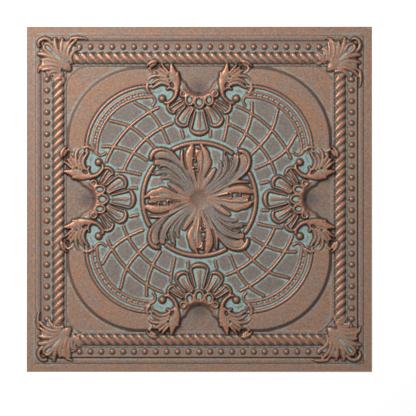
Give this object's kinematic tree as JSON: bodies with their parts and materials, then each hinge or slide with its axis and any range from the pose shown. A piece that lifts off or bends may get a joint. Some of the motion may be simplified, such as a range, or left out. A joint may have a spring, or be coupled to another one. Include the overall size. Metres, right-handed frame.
{
  "type": "ceiling tile",
  "caption": "Square embossed ceiling tile: thin formed sheet with flat flange, beaded and roped border, lobed lattice field, shells, corner palmettes and central rosette.",
  "frame": {"origin": "centre of the flange's flat underside, which is the tile's lowest plane", "axes": "+Z out of the embossed face, +X and +Y along the tile's sides"},
  "size_m": [0.603, 0.603, 0.0116],
  "materials": {
    "patinated_face": "antique copper paint with verdigris in the hollows, matt"
  },
  "bodies": {
    "root": {"ceiling_tile": "patinated_face"}
  },
  "joints": []
}
